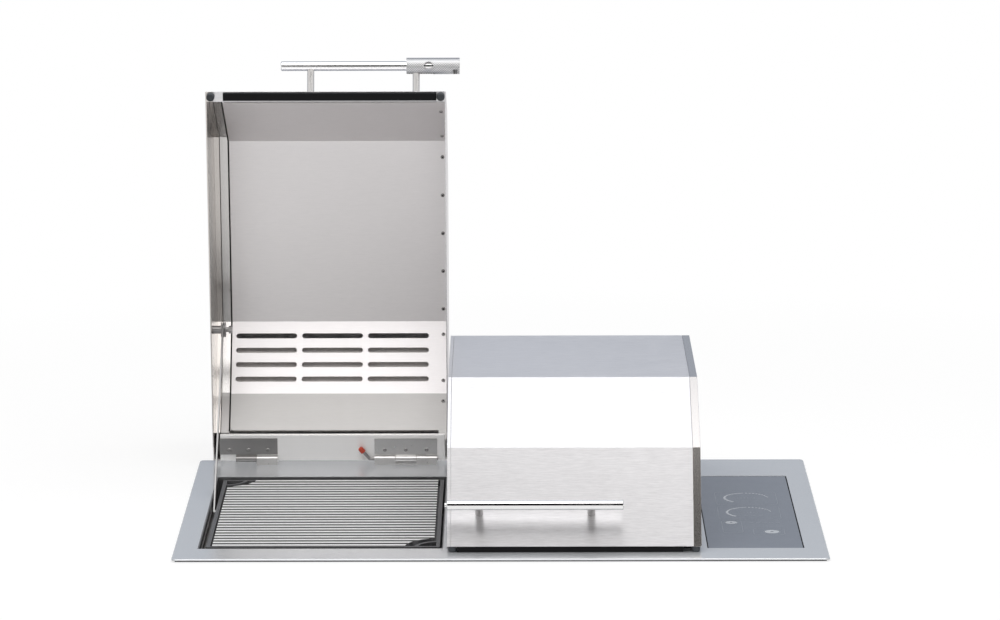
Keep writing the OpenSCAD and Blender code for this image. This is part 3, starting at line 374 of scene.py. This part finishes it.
# Nodes of both sides that look unlike the other nodes of their material
OWN_FINISH = {
    "slip_hinge_leaf": DARK_STEEL,
    "lid_fasteners": DARK_STEEL,
    "release_pin": DARK_STEEL,
    "stay_bolt": DARK_STEEL,
    "lid_seals": gasket_and_bumpers(),
    "lid_side_channel": brushed(
        "channel_polished", (0.60, 0.585, 0.575), 0.22, anisotropic=0.3, wear=0.03, vary=0.02, bump=0.04,
        # Painted shade: the channel's tail part is painted darker
        painted_light_patch=(TAIL_FOLD_TOP, (0.36, 0.35, 0.345), 0.1),
    ),
    "lid_inner_end": MATERIALS["lid_steel"],
    "stay_track": MATERIALS["stay_steel"],
}


def dress_nodes():
    for part in frame["record"]["subparts"]:
        mesh = NODES[part["node"]].data
        mesh.materials.clear()
        mesh.materials.append(MATERIALS[part["material_slot"]])
    for side in SIDES:
        for part, material in OWN_FINISH.items():
            NODES[side + "_" + part].data.materials[0] = material
    # Painted light and shade: the open left lid's handle posts get the paler hinge steel, the closed right
    # lid's posts the darker steel as painted shade under the bar
    NODES["left_handle_posts"].data.materials[0] = MATERIALS["hinge_steel"]
    NODES["right_handle_posts"].data.materials[0] = DARK_STEEL


# Stage

WHITE, BLACK = rgb(1, 1, 1), rgb(0, 0, 0)
FLOOR_REACH = 14.0
# Half the width and depth of the cut-out for the burner box
CUT_OUT = (0.366, 0.252)
# Between these distances from the grill the grey floor fades to white
FADE_FROM, FADE_TO = 0.55, 1.5
# Brightness added to the grey floor where it is seen directly
FLOOR_GLOW = 0.66
# Directions along Y at which the reflected surroundings have their front and their back tone
FRONT_WAY, BACK_WAY = -0.3, 0.5
FRONT_TONE, BACK_TONE = rgb(1.0, 0.985, 0.975), rgb(0.42, 0.46, 0.53)
# The world's strength for rays that are not seen directly
AMBIENT = 0.5


def seen_directly(t):
    """1 for rays from the camera, from a mirror or through glass, 0 for the rest."""
    path = t.add("LightPath")
    total = t.math("ADD", path.outputs["Is Camera Ray"], path.outputs["Is Glossy Ray"])
    return t.math("MINIMUM", t.math("ADD", total, path.outputs["Is Transmission Ray"]), 1.0)


def add_floor():
    mesh = bpy.data.meshes.new("floor")
    outer = [(x * FLOOR_REACH, y * FLOOR_REACH, 0) for x, y in SQUARE]
    inner = [(x * CUT_OUT[0], y * CUT_OUT[1], 0) for x, y in SQUARE]
    mesh.from_pydata(outer + inner, [], [(i, (i + 1) % 4, (i + 1) % 4 + 4, i + 4) for i in range(4)])
    floor = bpy.data.objects.new("floor", mesh)
    SCENE.collection.objects.link(floor)
    made = bpy.data.materials.new("pale_floor")
    t = Tree(made)
    away = t.add("VectorMath", {0: t.point()}, operation="LENGTH").outputs["Value"]
    far_off = t.spread(away, FADE_FROM, FADE_TO)
    tone = t.blend(t.noise(even(90), detail=3), rgb(0.40, 0.40, 0.40), rgb(0.42, 0.42, 0.42))
    paint = t.add("BsdfDiffuse", {"Color": t.blend(far_off, tone, BLACK)})
    strength = t.math("MULTIPLY", seen_directly(t), t.spread(far_off, 0, 1, FLOOR_GLOW, 1.0))
    glow = t.add("Emission", {"Color": WHITE, "Strength": strength})
    both = t.add("AddShader", {0: paint.outputs[0], 1: glow.outputs[0]})
    t.add("OutputMaterial", {"Surface": both.outputs[0]})
    mesh.materials.append(made)


def add_world():
    """White to the camera; in reflections white in front and a cooler grey behind; dim for the rest."""
    world = bpy.data.worlds.new("studio")
    SCENE.world = world
    t = Tree(world)
    way = t.add("SeparateXYZ", {"Vector": t.add("TexCoord").outputs["Generated"]}).outputs["Y"]
    mirrored = t.blend(t.spread(way, FRONT_WAY, BACK_WAY), FRONT_TONE, BACK_TONE)
    colour = t.blend(t.add("LightPath").outputs["Is Glossy Ray"], WHITE, mirrored)
    strength = t.spread(seen_directly(t), 0, 1, AMBIENT, 1.0)
    back = t.add("Background", {"Color": colour, "Strength": strength})
    t.add("OutputWorld", {"Surface": back.outputs[0]})


def add_softbox(name, at, target, size, power):
    data = bpy.data.lights.new(name, "AREA")
    data.shape = "RECTANGLE"
    data.size, data.size_y = size
    data.energy = power
    lamp = bpy.data.objects.new(name, data)
    lamp.location = at
    lamp.rotation_euler = (Vector(target) - Vector(at)).to_track_quat("-Z", "Y").to_euler()
    SCENE.collection.objects.link(lamp)


def add_flag(name, low, high, half_width):
    """A dark card out of view, which only shows as a reflection in the steel."""
    mesh = bpy.data.meshes.new(name)
    low, high, side = Vector(low), Vector(high), Vector((half_width, 0, 0))
    mesh.from_pydata([low - side, low + side, high + side, high - side], [], [(0, 1, 2, 3)])
    flag = bpy.data.objects.new(name, mesh)
    SCENE.collection.objects.link(flag)
    made = bpy.data.materials.new(name + "_card")
    t = Tree(made)
    paint = t.add("BsdfDiffuse", {"Color": rgb(0.012, 0.012, 0.012)})
    t.add("OutputMaterial", {"Surface": paint.outputs[0]})
    mesh.materials.append(made)
    flag.visible_camera = False
    flag.visible_shadow = False


# Pieces that the solids leave to the looks


def add_face(bm, corners, way):
    """A flat face that looks along a direction, whichever way round its corners run."""
    face = bm.faces.new([bm.verts.new(corner) for corner in corners])
    face.normal_update()
    if face.normal.dot(way) < 0:
        face.normal_flip()


def add_piece(name, bm, body, material):
    mesh = bpy.data.meshes.new(name)
    bm.to_mesh(mesh)
    bm.free()
    mesh.materials.append(material)
    piece = bpy.data.objects.new(name, mesh)
    SCENE.collection.objects.link(piece)
    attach(piece, body)


# Print on the control glass: places and sizes in mm, angles in degrees

PRINT_LIFT = 0.04 * MM
SLIDER_MIDS = ((299.7, 49), (299.6, -29))
SLIDER_RADIUS, SLIDER_ARC, SLIDER_WIDTHS = 26.5, (232, 95), (3.4, 1.8)
TICKS, TICK_START, TICK_STEP, TICK_SWEEP = 9, 90, 9.5, 6
TICK_WIDTH, TICK_TAPER = 2.6, 0.12
# Rounded outlines in the middle of a slider, and a row of dashes below them
CELLS, CELL_STEP, CELL_HALF, CELL_RADIUS, CELL_LINE = 3, 8, (2.6, 3), 2.4, 0.7
DASHES, DASH_FIRST, DASH_STEP, DASH_SIZE = 4, (-16, -17), 9, (5, 1.2)
# Middle and radius of each key, with shares of that radius for its disc and its ring
KEYS = (((275.6, -83), 7.2), ((322, -131.3), 8.6))
DISC_RADIUS, DISC_WIDTH, RING_RADIUS, RING_LINE = 0.62, 0.76, 1.16, 0.5
# Two corners of each rounded guide line
GUIDES = (
    ((262, 12), (337, 82)), ((262, -66), (337, 4)), ((264, -137), (288, -72)), ((300, -148), (337, -114)),
)
GUIDE_RADIUS, GUIDE_LINE = 7, 0.45
LOW_DASHES, LOW_DASH_FIRST, LOW_DASH_STEP, LOW_DASH_SIZE = 5, (297, -84), 8, (5, 1.4)


def flat_shape(bm, outline):
    add_face(bm, [(x, y, 0) for x, y in outline], Vector((0, 0, 1)))


def dash(bm, x, y, size):
    flat_shape(bm, [(x, y), (x + size[0], y), (x + size[0], y + size[1]), (x, y + size[1])])


def arc_band(bm, mid, radius, arc, widths, steps=40):
    """A band along an arc between two angles. Its width goes evenly from the first to the second."""
    for i in range(steps):
        corners = []
        for share, way in ((i / steps, -1), (i / steps, 1), ((i + 1) / steps, 1), ((i + 1) / steps, -1)):
            angle = radians(arc[0] + (arc[1] - arc[0]) * share)
            r = radius + way * (widths[0] + (widths[1] - widths[0]) * share) / 2
            corners.append((mid[0] + r * cos(angle), mid[1] + r * sin(angle)))
        flat_shape(bm, corners)


def ring(bm, mid, radius, width):
    arc_band(bm, mid, radius, (0, 360), (width, width), steps=36)


def rounded_outline(low, high, r, steps=6):
    points = []
    for cx, cy, first in ((high[0] - r, high[1] - r, 0), (low[0] + r, high[1] - r, 90),
                          (low[0] + r, low[1] + r, 180), (high[0] - r, low[1] + r, 270)):
        for i in range(steps + 1):
            angle = radians(first + 90 * i / steps)
            points.append((cx + r * cos(angle), cy + r * sin(angle)))
    return points


def outline_band(bm, low, high, r, width):
    outer = rounded_outline(low, high, r)
    inner = rounded_outline((low[0] + width, low[1] + width), (high[0] - width, high[1] - width), r - width)
    n = len(outer)
    for i in range(n):
        flat_shape(bm, [outer[i], outer[(i + 1) % n], inner[(i + 1) % n], inner[i]])


def add_slider(marks, lines, mid):
    """A round slider with its ticks, and the outlines and dashes inside it."""
    arc_band(marks, mid, SLIDER_RADIUS, SLIDER_ARC, SLIDER_WIDTHS)
    for i in range(TICKS):
        start, width = TICK_START - i * TICK_STEP, TICK_WIDTH - i * TICK_TAPER
        arc_band(marks, mid, SLIDER_RADIUS, (start, start - TICK_SWEEP), (width, width), steps=3)
    half_x, half_y = CELL_HALF
    for i in range(CELLS):
        x = mid[0] + (i - (CELLS - 1) / 2) * CELL_STEP
        low, high = (x - half_x, mid[1] - half_y), (x + half_x, mid[1] + half_y)
        outline_band(lines, low, high, CELL_RADIUS, CELL_LINE)
    for i in range(DASHES):
        dash(lines, mid[0] + DASH_FIRST[0] + i * DASH_STEP, mid[1] + DASH_FIRST[1], DASH_SIZE)


def add_control_print():
    """Two round sliders, two keys and thin guide lines, printed on the control glass."""
    marks, lines = bmesh.new(), bmesh.new()
    for mid in SLIDER_MIDS:
        add_slider(marks, lines, mid)
    for mid, r in KEYS:
        ring(marks, mid, r * DISC_RADIUS, r * DISC_WIDTH)
        ring(lines, mid, r * RING_RADIUS, RING_LINE)
    for low, high in GUIDES:
        outline_band(lines, low, high, GUIDE_RADIUS, GUIDE_LINE)
    for i in range(LOW_DASHES):
        dash(lines, LOW_DASH_FIRST[0] + i * LOW_DASH_STEP, LOW_DASH_FIRST[1], LOW_DASH_SIZE)
    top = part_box("control_glass")[1].z + PRINT_LIFT
    for bm in (marks, lines):
        bm.transform(Matrix.Translation((0, 0, top)) @ Matrix.Scale(MM, 4))
    bright = coated("print_bright", (0.58, 0.61, 0.65), 0.4, wear=0.05, bump=0.0)
    faint = coated("print_faint", (0.30, 0.33, 0.37), 0.4, wear=0.05, bump=0.0)
    add_piece("control_marks", marks, "base", bright)
    add_piece("control_lines", lines, "base", faint)


# Pieces inside the lids, in mm in a lid's own frame

# The liner's folds and the end of its tab: Y and Z from the hinge axis
LINER = [(-465.8, 0), (-383.8, 118), (-144.5, 118), (-66.5, 61), (-30, 23)]
TAB_END = (-19.6, 12.2)
# The screws sit in rows along the liner's panels, at these shares of a panel's length
SCREW_X = 290.5
SCREW_SHARES = ((0.23, 0.87), (0.09, 0.30, 0.51, 0.72, 0.93), (0.18, 0.82), (0.16, 0.9))
# A recess's shade is painted as a dark cross of two bars just above the screw's head, the second bar just
# above the first
RECESS_HEIGHT, CROSS_LIFT = 1.42, 0.02
RECESS_HALF_LENGTH, RECESS_HALF_WIDTH = 1.6, 0.5
# Strips inside a lid: from and to across the lid, and two depths behind the liner's face
BEAD_ACROSS, BEAD_DEPTHS = (19.1, 20.9), (0.4, 2.4)
BAFFLE_ACROSS, BAFFLE_DEPTHS = (24, 274), (7, 7.8)
# The sheet behind the vent slots starts below the row that is uppermost in the open lid
BAFFLE_START = 0.27
BAFFLE_PATH = [Vector(LINER[2]).lerp(Vector(LINER[3]), BAFFLE_START), LINER[3]]
# Near black strip along the liner's edge: painted shade of the gap between the liner and the side channel
SHADE_BEAD = coated("painted_shade_bead", (0.012, 0.012, 0.012), 0.6, scale=900, gloss=0.2)
BAFFLE = coated("tanned_sheet", (0.72, 0.685, 0.67), 0.55, metallic=0.3, scale=200)


def lid_frame(side):
    """From a lid's own frame, in mm from its outer edge and its hinge axis, to the part's frame at rest."""
    place = Matrix.Translation((OUTER_EDGE[side], HINGE_Y, HINGE_Z))
    flip = Matrix.Diagonal((INWARD[side], 1, 1, 1))
    return place @ flip @ Matrix.Rotation(REST_TURN[side], 4, "X") @ Matrix.Scale(MM, 4)


def moved(path, by):
    """A path in a lid's Y-Z plane moved towards the cover, with mitred corners."""
    points = [Vector(point) for point in path]
    normals = [Vector((p.y - q.y, q.x - p.x)).normalized() for p, q in zip(points, points[1:])]
    corners = zip(points, normals[:1] + normals, normals + normals[-1:])
    return [point + by * (a + b) / (1 + a.dot(b)) for point, a, b in corners]


def add_strip(side, name, path, across, depths, material):
    """A strip along a path inside a lid: across its width and between two depths behind the path."""
    bm = bmesh.new()
    rings = []
    for near, far in zip(moved(path, depths[0]), moved(path, depths[1])):
        corners = ((across[0], near), (across[1], near), (across[1], far), (across[0], far))
        rings.append([bm.verts.new((x, p.x, p.y)) for x, p in corners])
    for one, two in zip(rings, rings[1:]):
        for i in range(4):
            bm.faces.new((one[i], one[(i + 1) % 4], two[(i + 1) % 4], two[i]))
    bm.faces.new(rings[0])
    bm.faces.new(rings[-1])
    bm.transform(lid_frame(side))
    bmesh.ops.recalc_face_normals(bm, faces=bm.faces)
    add_piece(side + "_" + name, bm, side + "_lid", material)


def add_screw_recesses(side):
    """Painted shade: dark crosses on the liner's screw heads, where their cross recesses lie."""
    bm = bmesh.new()
    place = lid_frame(side)
    for p, q, shares in zip(LINER, LINER[1:-1] + [TAB_END], SCREW_SHARES):
        start, along = Vector((SCREW_X, *p)), Vector((0, *q)) - Vector((0, *p))
        run = along.normalized()
        below = Vector((0, run.z, -run.y))
        for share in shares:
            for turn, height in ((45, RECESS_HEIGHT), (135, RECESS_HEIGHT + CROSS_LIFT)):
                mid = start + along * share + below * height
                length = Vector((1, 0, 0)) * cos(radians(turn)) + run * sin(radians(turn))
                width = length.cross(below) * RECESS_HALF_WIDTH
                length *= RECESS_HALF_LENGTH
                corners = [place @ (mid + length * i + width * j) for i, j in SQUARE]
                add_face(bm, corners, place.to_3x3() @ below)
    # Near black: the painted shade of the cross recesses
    dark = coated("recess_shade_" + side, (0.012, 0.012, 0.012), 0.6)
    add_piece(side + "_screw_cross_shade", bm, side + "_lid", dark)


add_camera()
dress_nodes()
add_control_print()
for lid_side in SIDES:
    add_screw_recesses(lid_side)
    add_strip(lid_side, "liner_shade_bead", LINER, BEAD_ACROSS, BEAD_DEPTHS, SHADE_BEAD)
    add_strip(lid_side, "vent_baffle", BAFFLE_PATH, BAFFLE_ACROSS, BAFFLE_DEPTHS, BAFFLE)
add_floor()
add_world()
# The front flag darkens the closed lid's end band, the low one draws the dark line in the handle bars
add_flag("front_flag", low=(0, -3.3, 1.35), high=(0, -2.65, 2.44), half_width=2.2)
add_flag("low_flag", low=(-0.15, -6.0, 0.0), high=(-0.15, -6.0, 2.5), half_width=0.5)
add_softbox("overhead_softbox", at=(0, -0.87, 2.45), target=(0, -0.87, 0), size=(2.8, 3.46), power=41.5)
